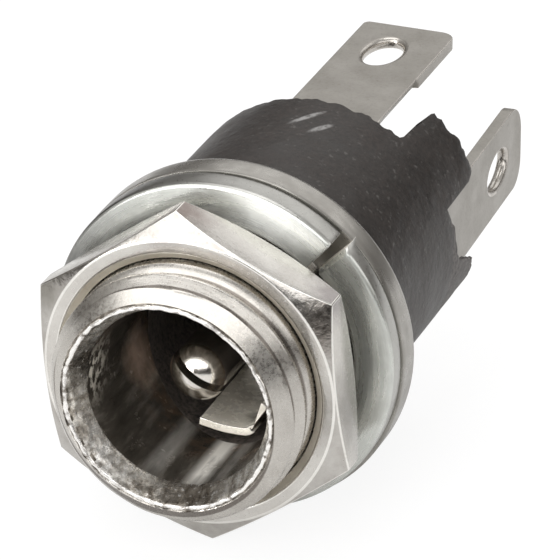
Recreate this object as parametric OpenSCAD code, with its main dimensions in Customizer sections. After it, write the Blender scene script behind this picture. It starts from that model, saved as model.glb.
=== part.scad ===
// Panel-mounted power socket with a threaded bush, hexagon nut, split lock washer and two solder lugs.
// The socket's axis runs along Y. Its mouth faces -Y and its lugs point to +Y.
// The origin is on the axis, at the front face of the bush's flange. Sizes are in millimetres.

/* [Threaded bush] */
// outside diameter of the thread
thread_d = 11; // [8:0.1:16]
// reach of the bush ahead of its flange
bush_reach = 7.1; // [6:0.1:14]
// wall of the bush between its bore and the thread
bush_wall = 1.5; // [0.8:0.05:3]
// widening of the bore at the open mouth
mouth_flare = 0.45; // [0.1:0.05:0.8]
// length of the taper from the mouth to the bore
mouth_taper = 1.05; // [0.3:0.05:2.5]
// width of the flat rim round the mouth
rim_w = 0.35; // [0.1:0.05:0.6]
// length of the taper from the rim to the full thread
rim_taper = 0.55; // [0.2:0.05:1.5]
// width of the flange beyond the lock washer
flange_lip = 0.2; // [0.05:0.05:2]
// flange thickness
flange_t = 1.45; // [0.8:0.05:3]
// broken edge of the flange
flange_bevel = 0.15; // [0.05:0.01:0.4]
// wall of the tail held in the housing
tail_ring_wall = 1; // [0.5:0.05:2]
// length of the tail behind the flange
tail_ring_len = 3.5; // [1:0.1:8]

/* [Hexagon nut] */
// wall of the nut between the thread and a flat
nut_wall = 1; // [0.6:0.05:4]
// nut thickness
nut_t = 2.3; // [1.5:0.1:5]
// free length of thread between the lock washer and the nut
nut_gap = 0.8; // [0.1:0.05:3]
// step from a flat in to the flat ring that the corner chamfer leaves on each face
nut_ring_step = 0.1; // [0.05:0.05:0.5]
// slope of the corner chamfer, as an angle
nut_chamfer_angle = 30; // [15:1:45]
// width of the countersink at each end of the thread
nut_sink_w = 0.4; // [0.1:0.05:1]
// slope of the countersink, as an angle
nut_sink_angle = 45; // [30:1:60]
// turn of the nut's first corner from +X towards +Z
nut_turn = 36; // [0:1:59]
// radial play of the nut on the thread
thread_play = 0.05; // [0.02:0.01:0.15]

/* [Lock washer] */
// radial play of the washer on the thread
washer_play = 0.25; // [0.1:0.05:0.8]
// width of the wire section
washer_w = 1.8; // [0.8:0.05:4]
// thickness of the wire section
washer_t = 1; // [0.5:0.05:1.5]
// axial offset between the two cut ends
washer_rise = 0.55; // [0.1:0.05:1]
// width of the cut between the ends
split_gap = 0.5; // [0.2:0.05:1.5]
// turn of the cut from +X towards +Z
split_turn = 47; // [0:1:359]
// rounded edge of the wire section
washer_edge = 0.12; // [0.05:0.01:0.2]

/* [Housing] */
// wall of the housing round the bush's tail
body_wall = 1.28; // [0.6:0.01:3]
// length of the housing behind the flange
body_len = 9.6; // [7:0.1:20]
// wall of the rear skirt
skirt_wall = 0.4; // [0.3:0.05:1]
// thickness of the floor that carries the contacts
floor_t = 3.4; // [1:0.1:6]
// broken edge at the front of the body
body_bevel = 0.2; // [0.05:0.05:0.5]
// reach of the upper guard tab behind the rear rim
tab_len = 3.6; // [1:0.1:8]
// angle over which the upper guard tab runs
tab_angle = 33; // [10:1:60]
// turn of the upper tab's lower edge from +X towards +Z
tab_upper_turn = 20; // [0:1:60]
// reach of the lower guard tab's point behind the rear rim
point_len = 4.8; // [1:0.1:9]
// reach of the slanted shoulder beside the point
shoulder_len = 3.2; // [0.5:0.1:8]
// height of the lower guard tab's straight edge at its root
root_len = 0.45; // [0.2:0.05:2]
// angle over which the lower guard tab runs at its root
point_angle = 36; // [20:1:60]
// angle over which the point stays at its full reach
point_end_angle = 10; // [4:1:20]
// angle over which the shoulder runs down to the root
shoulder_angle = 12; // [4:1:20]
// turn of the lower tab's lower edge from +X towards +Z
tab_lower_turn = -41; // [-90:1:-20]
// radial play of the bush's tail in the housing
tail_ring_play = 0.02; // [0.01:0.01:0.1]
// play between the end of the tail and the floor
tail_end_play = 0.1; // [0.05:0.01:0.5]

/* [Centre pin] */
// pin diameter
pin_d = 2.5; // [1:0.05:3.5]
// depth of the pin's tip below the rim
pin_depth = 2.75; // [1:0.05:4]
// height of the domed tip
pin_dome = 0.8; // [0.3:0.05:1.2]
// width of the slot across the tip
pin_slot_w = 0.35; // [0.2:0.05:0.8]
// length of the slot from the tip
pin_slot_len = 4; // [1:0.1:7]
// turn of the slot from +X towards +Z
pin_slot_turn = -32; // [-90:1:90]
// step of the seat collar beyond the pin
collar_step = 0.65; // [0.2:0.05:2]
// thickness of the seat collar
collar_t = 0.6; // [0.2:0.05:1.5]
// diameter of the tail through the floor
tail_d = 1.7; // [0.8:0.05:2.4]
// spread of the rivet head beyond the tail
rivet_spread = 0.55; // [0.2:0.05:1]
// height of the spread rivet head
rivet_t = 0.5; // [0.2:0.05:1.2]
// radial play of the tail in its holes
tail_play = 0.02; // [0.01:0.01:0.1]

/* [Pin lug] */
// width of the pin's solder lug
pin_lug_w = 4.4; // [2:0.1:6]
// play between the lug's upper corners and the skirt
pin_lug_play = 0.32; // [0.05:0.01:1]
// reach of the lug's tip behind the housing's rear rim
pin_lug_reach = 11.4; // [6:0.1:20]
// rounded corner of the tip on the +X side
pin_lug_round = 0.7; // [0.2:0.05:2]
// rounded corner of the tip on the -X side
pin_lug_corner = 0.3; // [0.05:0.05:2]
// place of the wire eye ahead of the tip
pin_eye_back = 3; // [2:0.1:6]
// sideways place of the wire eye
pin_eye_x = -0.25; // [-1:0.05:1]

/* [Sleeve contact] */
// width of the sleeve's solder lug
sleeve_lug_w = 4.05; // [2:0.05:6]
// play between the lug's lower corner and the skirt
sleeve_lug_play = 0.06; // [0.02:0.01:1]
// drop of the lug's middle below the axis
sleeve_lug_drop = 0.3; // [0:0.05:1]
// reach of the lug's tip behind the housing's rear rim
sleeve_lug_reach = 12.95; // [6:0.05:20]
// inward lean of the lug, as an angle
sleeve_lean = 2; // [0:0.1:5]
// rounded upper corner of the tip
sleeve_lug_round = 1.55; // [0.2:0.05:2.4]
// rounded lower corner of the tip
sleeve_lug_corner = 1.15; // [0.2:0.05:2.4]
// place of the wire eye ahead of the tip
sleeve_eye_back = 3.65; // [2:0.05:6]
// depth of the spring trough's front lip below the rim
lip_depth = 4.4; // [2:0.1:8]
// thickness of the spring trough
spring_t = 0.3; // [0.15:0.05:0.5]
// room between the bore and the trough's contact face
spring_room = 1.25; // [0.8:0.05:2]
// play around the trough where it passes the floor
spring_play = 0.05; // [0.02:0.01:0.2]

/* [Lugs] */
// thickness of the lug sheet
sheet_t = 0.55; // [0.2:0.05:1]
// inside radius of the bends
bend_r = 0.4; // [0.1:0.05:1]
// clear distance between the two lugs behind the floor
lug_gap = 0.45; // [0.2:0.05:2]
// width of the oval wire eyes
eye_w = 2.05; // [1:0.05:3]
// length of the oval wire eyes
eye_len = 3.5; // [1.2:0.1:5]

/* [Hidden] */
$fn = 96;
// radii of the turned pieces, each from the piece that it fits
thread_r = thread_d / 2;
bore_r = thread_r - bush_wall;
mouth_r = bore_r + mouth_flare;
washer_in = thread_r + washer_play;
washer_out = washer_in + washer_w;
flange_r = washer_out + flange_lip;
tail_ring_r = bore_r + tail_ring_wall;
pocket_r = tail_ring_r + tail_ring_play;
body_r = pocket_r + body_wall;
skirt_r = body_r - skirt_wall;
pin_r = pin_d / 2;
tail_r = tail_d / 2;
spring_r = bore_r - spring_room + spring_t / 2;
// stations along the axis, counted towards the mouth from the flange's front face
body_top = -flange_t;
rim_back = body_top - body_len;
tail_ring_back = body_top - tail_ring_len;
floor_front = tail_ring_back - tail_end_play;
floor_back = floor_front - floor_t;
pin_tip = bush_reach - pin_depth;
lip_front = bush_reach - lip_depth;
sheet_back = floor_back - sheet_t;
nut_back = washer_t + washer_rise + nut_gap;
pin_lug_tip = pin_lug_reach - rim_back;
sleeve_lug_tip = sleeve_lug_reach - rim_back;
// distances of the lugs' outer faces from the axis, at which their corners clear the skirt
pin_lug_z = sqrt(pow(skirt_r - pin_lug_play, 2) - pow(pin_lug_w / 2, 2));
sleeve_lug_x = sqrt(pow(skirt_r - sleeve_lug_play, 2) - pow(sleeve_lug_w / 2 + sleeve_lug_drop, 2));
// overrun of a cut past the face that it opens
past = floor_t / 4;
// centre line of the trough's section, from its free edge round the barrel to its root
trough = [[-0.11, -0.94], [0.23, -1], [0.68, -1], [0.9, -0.5]] * spring_r;

// turns a shape that stands along Z so that it points to the mouth
module to_mouth() {
    rotate([90, 0, 0]) children();
}

// closed outline of an oval wire eye along Y
module eye_outline() {
    scale([eye_w / eye_len, 1]) circle(d = eye_len);
}

// sheet bent once: one leg runs down from the outer corner, the other along X with a small lean
module elbow(leg_x, leg_y, lean) {
    r_out = bend_r + sheet_t;
    reach = 2 * r_out;
    translate([0, -leg_y]) square([sheet_t, leg_y - r_out]);
    translate([r_out, -r_out]) {
        intersection() {
            difference() {
                circle(r = r_out);
                circle(r = bend_r);
            }
            polygon([[0, 0], [reach * sin(lean), reach * cos(lean)], [-reach, reach], [-reach, 0]]);
        }
        rotate(-lean) translate([0, bend_r]) square([leg_x - r_out, sheet_t]);
    }
}

// blade outline from the floor to its tip, with one rounding for each corner of the tip
module blade_outline(w, length, left_round, right_round) {
    difference() {
        translate([-w / 2, 0]) square([w, length]);
        translate([-w / 2, length - left_round]) square(left_round);
        translate([w / 2 - right_round, length - right_round]) square(right_round);
    }
    translate([left_round - w / 2, length - left_round]) circle(r = left_round);
    translate([w / 2 - right_round, length - right_round]) circle(r = right_round);
}

// unit vector square to a run of the strip, on its left
function left_of(run) = [-run[1], run[0]] / norm(run);

// corner of a strip's side at a given distance to the left of one of its points
function side_point(points, i, dist) =
    let (
        last = len(points) - 1,
        before = left_of(points[max(i, 1)] - points[max(i, 1) - 1]),
        after = left_of(points[min(i, last - 1) + 1] - points[min(i, last - 1)]),
        half = (before + after) / norm(before + after)
    )
    points[i] + half * dist / (half * before);

// same points with both ends carried on by a given length
function carried_on(points, extra) =
    let (
        last = len(points) - 1,
        head = points[0] - points[1],
        tail = points[last] - points[last - 1]
    )
    [
        for (i = [0 : last])
            points[i]
            + (i == 0 ? head / norm(head) * extra : [0, 0])
            + (i == last ? tail / norm(tail) * extra : [0, 0])
    ];

// strip of even thickness with mitred corners along a list of points
module strip(points, t) {
    last = len(points) - 1;
    polygon(concat(
        [for (i = [0 : last]) side_point(points, i, t / 2)],
        [for (i = [0 : last]) side_point(points, last - i, -t / 2)]
    ));
}

// turned bush with its thread, flange, tapered mouth and tail
module threaded_bush() {
    color([0.75, 0.73, 0.7]) to_mouth() rotate_extrude() polygon([
        [bore_r, tail_ring_back],
        [tail_ring_r, tail_ring_back],
        [tail_ring_r, body_top],
        [flange_r - flange_bevel, body_top],
        [flange_r, body_top + flange_bevel],
        [flange_r, -flange_bevel],
        [flange_r - flange_bevel, 0],
        [thread_r, 0],
        [thread_r, bush_reach - rim_taper],
        [mouth_r + rim_w, bush_reach],
        [mouth_r, bush_reach],
        [bore_r, bush_reach - mouth_taper]
    ]);
}

// hexagon nut, chamfered and countersunk on both faces
module hex_nut() {
    flat_r = thread_r + nut_wall;
    corner_r = flat_r / cos(30);
    ring_r = flat_r - nut_ring_step;
    drop = (corner_r - ring_r) * tan(nut_chamfer_angle);
    nut_bore_r = thread_r + thread_play;
    sink_r = thread_r + nut_sink_w;
    sink = (sink_r - nut_bore_r) / tan(nut_sink_angle);
    color([0.78, 0.76, 0.73]) to_mouth() translate([0, 0, nut_back]) intersection() {
        rotate([0, 0, nut_turn]) linear_extrude(nut_t) circle(r = corner_r, $fn = 6);
        rotate_extrude() polygon([
            [sink_r, 0],
            [ring_r, 0],
            [corner_r, drop],
            [corner_r, nut_t - drop],
            [ring_r, nut_t],
            [sink_r, nut_t],
            [nut_bore_r, nut_t - sink],
            [nut_bore_r, sink]
        ]);
    }
}

// spring washer: one turn of rounded wire section that climbs from cut end to cut end
module lock_washer() {
    steps = 90;
    e = washer_edge;
    section = [
        [washer_in, e],
        [washer_in + e, 0],
        [washer_out - e, 0],
        [washer_out, e],
        [washer_out, washer_t - e],
        [washer_out - e, washer_t],
        [washer_in + e, washer_t],
        [washer_in, washer_t - e]
    ];
    n = len(section);
    half_cut = asin(split_gap / (washer_in + washer_out));
    sweep = 360 - 2 * half_cut;
    points = [
        for (i = [0 : steps])
            let (turn = split_turn - half_cut - sweep * i / steps)
                for (p = section)
                    [p[0] * cos(turn), p[0] * sin(turn), p[1] + washer_rise * i / steps]
    ];
    sides = [
        for (i = [0 : steps - 1])
            for (k = [0 : n - 1])
                [i * n + k, i * n + (k + 1) % n, (i + 1) * n + (k + 1) % n, (i + 1) * n + k]
    ];
    first_end = [for (k = [0 : n - 1]) n - 1 - k];
    last_end = [for (k = [0 : n - 1]) steps * n + k];
    color([0.8, 0.82, 0.8]) to_mouth()
        polyhedron(points = points, faces = concat(sides, [first_end, last_end]));
}

// stretch of the long skirt that is cut back to a given reach behind the rear rim
module skirt_cut(from_turn, to_turn, reach) {
    long = point_len + past;
    rotate([0, 0, from_turn]) rotate_extrude(angle = to_turn - from_turn)
        translate([skirt_r / 2, rim_back - long]) square([body_r, long - reach]);
}

// corner cut that slants the lower guard tab from its root over a shoulder to its point
module slant_cut() {
    edge_turn = tab_lower_turn + point_angle;
    point_turn = tab_lower_turn + point_end_angle;
    shoulder_turn = edge_turn - shoulder_angle;
    across = [for (turn = [edge_turn, shoulder_turn, point_turn]) body_r * sin(turn - point_turn)];
    root_slope = (across[0] - across[1]) / (shoulder_len - root_len);
    end_slope = (across[1] - across[2]) / (point_len - shoulder_len);
    outside = across[0] + root_slope * root_len / 2;
    rotate([0, 0, point_turn]) rotate([90, 0, 90]) linear_extrude(2 * body_r) polygon([
        [outside, rim_back - root_len / 2],
        [across[1], rim_back - shoulder_len],
        [across[2] - end_slope * past, rim_back - point_len - past],
        [outside, rim_back - point_len - past]
    ]);
}

// moulded housing: pocket for the bush's tail, contact floor, rear skirt and guard tabs
module housing() {
    skirt_end = rim_back - point_len;
    spare_turn = tab_angle / 4;
    color([0.09, 0.085, 0.085]) to_mouth() difference() {
        rotate_extrude() polygon([
            [pocket_r, body_top],
            [body_r - body_bevel, body_top],
            [body_r, body_top - body_bevel],
            [body_r, skirt_end],
            [skirt_r, skirt_end],
            [skirt_r, floor_back],
            [0, floor_back],
            [0, floor_front],
            [pocket_r, floor_front]
        ]);
        skirt_cut(tab_lower_turn + point_angle, tab_upper_turn, 0);
        skirt_cut(tab_upper_turn + tab_angle, tab_lower_turn + 360, 0);
        skirt_cut(tab_upper_turn - spare_turn, tab_upper_turn + tab_angle + spare_turn, tab_len);
        slant_cut();
        translate([0, 0, floor_back - past]) cylinder(r = tail_r + tail_play, h = floor_t + 2 * past);
        translate([0, 0, floor_back - past]) linear_extrude(floor_t + 2 * past)
            strip(carried_on(trough, spring_play), spring_t + 2 * spring_play);
    }
}

// split pin with a domed tip, a seat collar and a riveted tail
module centre_pin() {
    head_back = sheet_back - rivet_t;
    dome_r = (pin_r * pin_r + pin_dome * pin_dome) / pin_dome / 2;
    dome_middle = pin_tip - dome_r;
    color([0.72, 0.7, 0.66]) to_mouth() difference() {
        union() {
            rotate_extrude() intersection() {
                union() {
                    translate([0, dome_middle]) circle(r = dome_r);
                    translate([0, floor_front]) square([dome_r, dome_middle - floor_front]);
                }
                translate([0, floor_front]) square([pin_r, pin_tip - floor_front]);
            }
            translate([0, 0, floor_front]) cylinder(r = pin_r + collar_step, h = collar_t);
            translate([0, 0, head_back]) cylinder(r = tail_r, h = floor_front - head_back);
            translate([0, 0, head_back]) cylinder(r1 = tail_r, r2 = tail_r + rivet_spread, h = rivet_t);
        }
        rotate([0, 0, pin_slot_turn]) translate([-pin_d, -pin_slot_w / 2, pin_tip - pin_slot_len])
            cube([2 * pin_d, pin_slot_w, pin_slot_len + past]);
    }
}

// lug of the centre pin: a foot riveted to the floor, bent back into a solder blade with an eye
module pin_lug() {
    foot_r = pin_lug_w / 2;
    length = pin_lug_tip + floor_back;
    color([0.62, 0.6, 0.56]) intersection() {
        difference() {
            translate([0, -floor_back, pin_lug_z]) rotate([90, 0, 90])
                linear_extrude(pin_lug_w, center = true) elbow(length, pin_lug_z + foot_r, 0);
            to_mouth() translate([0, 0, sheet_back - past])
                cylinder(r = tail_r + tail_play, h = sheet_t + 2 * past);
        }
        linear_extrude(4 * pin_lug_z, center = true) translate([0, -floor_back]) difference() {
            blade_outline(pin_lug_w, length, pin_lug_corner, pin_lug_round);
            translate([pin_eye_x, length - pin_eye_back]) eye_outline();
        }
        to_mouth() translate([0, 0, -pin_lug_tip]) linear_extrude(2 * length) {
            circle(r = foot_r);
            translate([-foot_r, 0]) square([pin_lug_w, 2 * pin_lug_z]);
        }
    }
}

// sleeve contact: a spring trough in the socket, a bridge behind the floor and a leaning solder blade
module sleeve_contact() {
    length = sleeve_lug_tip + floor_back;
    bridge_in = pin_lug_w / 2 + lug_gap;
    bridge_out = bridge_in + sheet_t;
    root = trough[len(trough) - 1];
    heel = trough[len(trough) - 2];
    color([0.62, 0.6, 0.56]) {
        translate([0, 0, -sleeve_lug_drop]) intersection() {
            translate([sleeve_lug_x, -floor_back, 0]) rotate([180, 0, 90])
                linear_extrude(sleeve_lug_w, center = true)
                    elbow(length, sleeve_lug_x - bridge_in, sleeve_lean);
            translate([0, -floor_back, 0]) rotate([0, -90, 0]) linear_extrude(4 * sleeve_lug_x, center = true)
                difference() {
                    blade_outline(sleeve_lug_w, length, sleeve_lug_corner, sleeve_lug_round);
                    translate([0, length - sleeve_eye_back]) eye_outline();
                }
        }
        to_mouth() translate([0, 0, sheet_back]) linear_extrude(lip_front - sheet_back)
            strip(trough, spring_t);
        to_mouth() translate([0, 0, sheet_back]) linear_extrude(sheet_t)
            polygon([heel, root, [bridge_out, root[1]], [bridge_out, heel[1]]]);
    }
}

threaded_bush();
hex_nut();
lock_washer();
housing();
centre_pin();
pin_lug();
sleeve_contact();
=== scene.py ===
# %% [markdown]
# # A panel power socket
# The real thing is a small metal socket that is clamped in a panel. A threaded bush carries a nut and a
# spring washer, a black moulding holds the contacts, and two solder lugs stick out at the back.
# The solid model already gives every piece its size and place, so this lesson loads it as a fixed frame
# and builds each visible piece again with the rounded edges, thread and finish that the solids leave out.
# All drawing is done in millimetres. A finished piece is brought down to the frame's metres at the end.

# %% Load the frame
import math

import bpy
from mathutils import Matrix, Vector, noise


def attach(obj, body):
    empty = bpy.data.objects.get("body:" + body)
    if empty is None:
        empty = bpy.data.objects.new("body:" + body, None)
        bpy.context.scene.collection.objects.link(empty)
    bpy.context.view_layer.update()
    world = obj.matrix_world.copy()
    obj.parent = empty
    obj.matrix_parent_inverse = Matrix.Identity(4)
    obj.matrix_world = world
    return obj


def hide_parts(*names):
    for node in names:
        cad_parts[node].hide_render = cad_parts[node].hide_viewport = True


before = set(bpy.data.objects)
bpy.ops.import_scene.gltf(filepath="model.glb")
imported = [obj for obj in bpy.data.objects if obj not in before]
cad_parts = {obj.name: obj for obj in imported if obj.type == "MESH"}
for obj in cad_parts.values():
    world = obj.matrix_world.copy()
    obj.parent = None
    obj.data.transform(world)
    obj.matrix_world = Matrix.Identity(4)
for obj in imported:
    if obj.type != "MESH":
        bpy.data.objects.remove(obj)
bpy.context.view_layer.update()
MM = 0.001
print("nodes:", sorted(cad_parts))

# %% [markdown]
# ## Drawing helpers
# By hand one clicks on what is to be shaped next. A script picks points, edges or faces by their place
# instead: each is put to a test, and an edge is picked when both its ends pass.

# %% Select pieces, and go in and out of edit mode
def edit_all():
    bpy.ops.object.mode_set(mode="EDIT")
    bpy.ops.mesh.select_all(action="SELECT")


def leave_edit():
    bpy.ops.object.mode_set(mode="OBJECT")


def deselect():
    if bpy.context.object and bpy.context.object.mode != "OBJECT":
        leave_edit()
    bpy.ops.object.select_all(action="DESELECT")


def make_active(piece):
    deselect()
    piece.select_set(True)
    bpy.context.view_layer.objects.active = piece


# %% Pick points, edges or faces
def pick(piece, kind, test):
    bpy.ops.object.mode_set(mode="EDIT")
    bpy.ops.mesh.select_mode(type=kind)
    bpy.ops.mesh.select_all(action="DESELECT")
    leave_edit()
    mesh = piece.data
    if kind == "VERT":
        for point in mesh.vertices:
            point.select = test(point.co)
    elif kind == "EDGE":
        for edge in mesh.edges:
            edge.select = all(test(mesh.vertices[i].co) for i in edge.vertices)
    else:
        for face in mesh.polygons:
            face.select = test(face.center)
    bpy.ops.object.mode_set(mode="EDIT")


# %% [markdown]
# Turned parts start as a half outline. By hand one would add a plane, merge it to a single point and
# extrude that point from corner to corner, and the helper below does just that. The axis of the socket is
# Y, so an outline lies in the XY plane, with the radius along X. Spinning the outline round Y then gives
# the whole part, and merging the doubled points closes the seam.

# %% Draw an outline
SAME_POINT = 1e-4


def stretch(start, end, parts):
    (r0, y0), (r1, y1) = start, end
    return [(r0 + (r1 - r0) * i / parts, y0 + (y1 - y0) * i / parts) for i in range(parts + 1)]


def draw_line(name, points, closed=False):
    points = [Vector(point).to_3d() for point in points]
    deselect()
    bpy.ops.mesh.primitive_plane_add(size=0.1)
    piece = bpy.context.object
    piece.name = name
    bpy.ops.object.mode_set(mode="EDIT")
    bpy.ops.mesh.select_mode(type="VERT")
    bpy.ops.mesh.select_all(action="SELECT")
    bpy.ops.mesh.merge(type="CENTER")
    bpy.ops.transform.translate(value=points[0])
    for here, there in zip(points, points[1:]):
        bpy.ops.mesh.extrude_vertices_move(TRANSFORM_OT_translate={"value": there - here})
    if closed:
        ends = (points[0], points[-1])
        pick(piece, "VERT", lambda co: min((co - end).length for end in ends) < SAME_POINT)
        bpy.ops.mesh.edge_face_add()
    leave_edit()
    return piece


# %% Turn it round the axis
SEAM = 0.0005


def face_outwards():
    edit_all()
    bpy.ops.mesh.remove_doubles(threshold=SEAM)
    bpy.ops.mesh.normals_make_consistent(inside=False)
    leave_edit()


def turn_round(piece, steps):
    edit_all()
    bpy.ops.mesh.spin(steps=steps, angle=2 * math.pi, center=(0, 0, 0), axis=(0, 1, 0))
    face_outwards()
    print(piece.name, "turned:", len(piece.data.vertices), "points")


# %% [markdown]
# ## Finishing helpers
# Sharp edges never look real, so most pieces get their edges rounded by a Bevel modifier. The rounding is
# given its own material slot, because plating wears bright just there. A finished piece is scaled to
# metres, smoothed, fixed to the socket's body and put in place of its plain solid.

# %% Apply modifiers and finish a piece
def modify(piece, kind, **settings):
    make_active(piece)
    modifier = piece.modifiers.new(kind.lower(), kind)
    for name, value in settings.items():
        setattr(modifier, name, value)
    bpy.ops.object.modifier_apply(modifier=modifier.name)


def cut_away(piece, cutter, operation="DIFFERENCE"):
    modify(piece, "BOOLEAN", operation=operation, solver="EXACT", object=cutter)
    bpy.data.objects.remove(cutter)


def round_edges(piece, width, angle=30, segments=3):
    piece.data.materials.clear()
    piece.data.materials.append(None)
    piece.data.materials.append(None)
    modify(piece, "BEVEL", width=width, segments=segments, limit_method="ANGLE", material=1,
           angle_limit=math.radians(angle), use_clamp_overlap=True)


def finish_piece(piece, node, smooth=35):
    make_active(piece)
    piece.scale = (MM, MM, MM)
    bpy.ops.object.transform_apply()
    bpy.ops.object.shade_smooth_by_angle(angle=math.radians(smooth))
    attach(piece, "root")
    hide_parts(node)
    print(piece.name, "stands for", node, "with", len(piece.data.polygons), "faces")


# %% [markdown]
# ## The threaded bush
# The bush is turned from bar: a flange, a threaded barrel, a tapered mouth and a bore, with a small bead
# round the rim. The half outline is drawn from the back of the bore forwards, round the rim and back over
# the barrel and the flange, and it is spun once round the axis.

# %% Bush outline
BORE_R, RIM_R, CREST_R, ROOT_R = 4.0, 4.72, 5.5, 5.05
TAIL_R, TAIL_BACK = 5.0, 4.95
FLANGE_R, FLANGE_BACK = 7.75, 1.45
RIM_Y, TAPER_Y, MOUTH_Y, BARREL_END = -7.1, -6.1, -6.05, -0.15
PITCH, ROWS_PER_PITCH = 1.15, 28
TAPER_BREAK = (5.35, -6.6)
bore = [(BORE_R, y) for y in (TAIL_BACK, 3.0, 1.0, -0.5, -2.0, -3.5, -5.0, -5.9)]
mouth = stretch((4.02, MOUTH_Y), (4.43, -7.03), 9)
rim = [(4.45, -7.06), (4.48, -7.09), (4.52, RIM_Y), (4.57, -7.095), (4.605, -7.06), (4.62, -6.98),
       (4.68, -6.97)]
taper = stretch((RIM_R, -7.04), TAPER_BREAK, 6) + stretch(TAPER_BREAK, (CREST_R, TAPER_Y), 6)[1:]
barrel_rows = int((BARREL_END - TAPER_Y) / PITCH * ROWS_PER_PITCH)
barrel = stretch((CREST_R, TAPER_Y), (CREST_R, BARREL_END), barrel_rows)[1:]
flange = [(5.55, -0.04), (5.65, 0.0), (7.6, 0.0), (7.7, 0.0), (7.735, 0.008), (FLANGE_R, 0.04),
          (FLANGE_R, 0.3), (FLANGE_R, 0.75), (FLANGE_R, 1.2), (7.73, 1.33), (7.67, 1.41),
          (7.58, FLANGE_BACK), (TAIL_R, FLANGE_BACK), (TAIL_R, TAIL_BACK)]
bush = draw_line("threaded_bush_piece", bore + mouth + rim + taper + barrel + flange, closed=True)
turn_round(bush, 240)

# %% [markdown]
# The thread is cut as a lathe would cut it, by moving each point of the finely divided barrel in by the
# depth of a sharp groove that advances one pitch for each turn. The groove runs out before the flange and
# is worn shallow just inside the front of the nut.

# %% Shape of the groove
THREAD_START = 0.2265
ROOT_FLAT, FLANK = 0.03, 0.4
RUN_OUT_AT, RUN_OUT = -0.5, 0.8
WORN_AT, WORN_HALF = -4.35, 0.7


def clamp(value):
    return min(max(value, 0.0), 1.0)


def groove_radius(y, turn):
    place = (y / PITCH + turn / (2 * math.pi) - THREAD_START) % 1.0
    off_root = clamp((abs(place - 0.5) - ROOT_FLAT) / FLANK)
    cut = ROOT_R + (CREST_R - ROOT_R) * off_root
    depth = clamp((RUN_OUT_AT - y) / RUN_OUT) * min(abs(y - WORN_AT) / WORN_HALF, 1.0)
    return CREST_R + (cut - CREST_R) * depth


# %% Cut the thread
THREAD_END, SLACK, THREAD_LUMPS = -0.1, 0.01, 0.006


def uneven(point, size):
    return noise.noise(Vector(point) / size)


def radius_of(co):
    return math.hypot(co.x, co.z)


def turn_of(co):
    return math.atan2(co.z, co.x)


def move_out(point, r, wanted):
    point.co.x *= wanted / r
    point.co.z *= wanted / r


for point in bush.data.vertices:
    r = radius_of(point.co)
    if RIM_R - SLACK < r < CREST_R + SLACK and RIM_Y < point.co.y < THREAD_END:
        turn = turn_of(point.co)
        cut = min(r, groove_radius(point.co.y, turn))
        move_out(point, r, cut - THREAD_LUMPS + THREAD_LUMPS * uneven(point.co, 0.35))
print("thread cut over", round(THREAD_END - RIM_Y, 2), "mm")

# %% [markdown]
# The tapered mouth is rough from use, with a ragged rim. A little smooth noise on the points of the finely
# divided taper gives the lumps that catch the light.

# %% Roughen the mouth
MOUTH_EDGE_R, MOUTH_FADE = 4.66, 0.5
BIG_LUMP, SMALL_LUMP, NICK = 0.03, 0.05, 0.05
OTHER_NOISE = Vector((3, 5, 7))
rough_points = 0
for point in bush.data.vertices:
    r = radius_of(point.co)
    if r < MOUTH_EDGE_R and point.co.y < MOUTH_Y:
        share = min((MOUTH_Y - point.co.y) / MOUTH_FADE, 1.0)
        lumps = SMALL_LUMP * uneven(point.co, 0.24) + BIG_LUMP * uneven(point.co, 0.6)
        move_out(point, r, r + share * lumps)
        nick = NICK * uneven(point.co + OTHER_NOISE, 0.3)
        point.co.y = max(point.co.y + share * nick, RIM_Y)
        rough_points += 1
print("mouth roughened at", rough_points, "points")

# %% [markdown]
# The flange isn't quite true to the bore: it sits a little low and to the right. It is trimmed by as much,
# so that it stays within the solid's box. Deep in the bore the wall turns dark along a slanted edge, so
# the bore's faces are bisected there and can take another finish beyond it.

# %% Set the flange out of true
FLANGE_FOOT_R, FLANGE_FRONT = 6.0, -0.02
FLANGE_TRIM, FLANGE_SHIFT = 0.1, Vector((0.1, 0, -0.08))
for point in bush.data.vertices:
    r = radius_of(point.co)
    if r > FLANGE_FOOT_R and point.co.y > FLANGE_FRONT:
        share = min(r - FLANGE_FOOT_R, 1.0)
        move_out(point, r, r - FLANGE_TRIM * share)
        point.co += share * FLANGE_SHIFT
print("flange moved by", round(FLANGE_SHIFT.length, 2), "mm")

# %% Mark off the dark far part of the bore
DARK_EDGE_AT, DARK_EDGE_TILT = Vector((0, -0.85, 0)), Vector((0.40, 1.0, -0.207))
pick(bush, "FACE", lambda co: radius_of(co) < BORE_R + SLACK and -5.0 < co.y < 4.0)
bpy.ops.mesh.bisect(plane_co=DARK_EDGE_AT, plane_no=DARK_EDGE_TILT)
leave_edit()
finish_piece(bush, "threaded_bush", smooth=40)

# %% [markdown]
# ## The hexagon nut
# A nut starts as a hexagonal bar. Its corners are chamfered on a lathe, which leaves the curved edges that
# every nut shows, so here a six-sided prism is intersected with a turned ring that has the chamfers, the
# bore and both countersinks. A small bevel then softens the edges, as plating does.

# %% Hexagon bar
NUT_FRONT, NUT_BACK, NUT_FLATS, NUT_TURN = -4.65, -2.35, 13.0, 36
NUT_CORNER = NUT_FLATS / 2 / math.cos(math.radians(30))
deselect()
bpy.ops.mesh.primitive_cylinder_add(vertices=6, radius=NUT_CORNER, depth=NUT_BACK - NUT_FRONT,
                                    location=(0, (NUT_FRONT + NUT_BACK) / 2, 0),
                                    rotation=(math.pi / 2, 0, 0))
nut = bpy.context.object
nut.name = "hex_nut_piece"
bpy.ops.object.transform_apply()
corner = max(nut.data.vertices, key=lambda v: v.co.x)
turn = math.radians(NUT_TURN) - turn_of(corner.co)
nut.data.transform(Matrix.Rotation(-turn, 4, "Y"))
print("nut corners at", sorted({round(math.degrees(turn_of(v.co))) for v in nut.data.vertices}))

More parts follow.
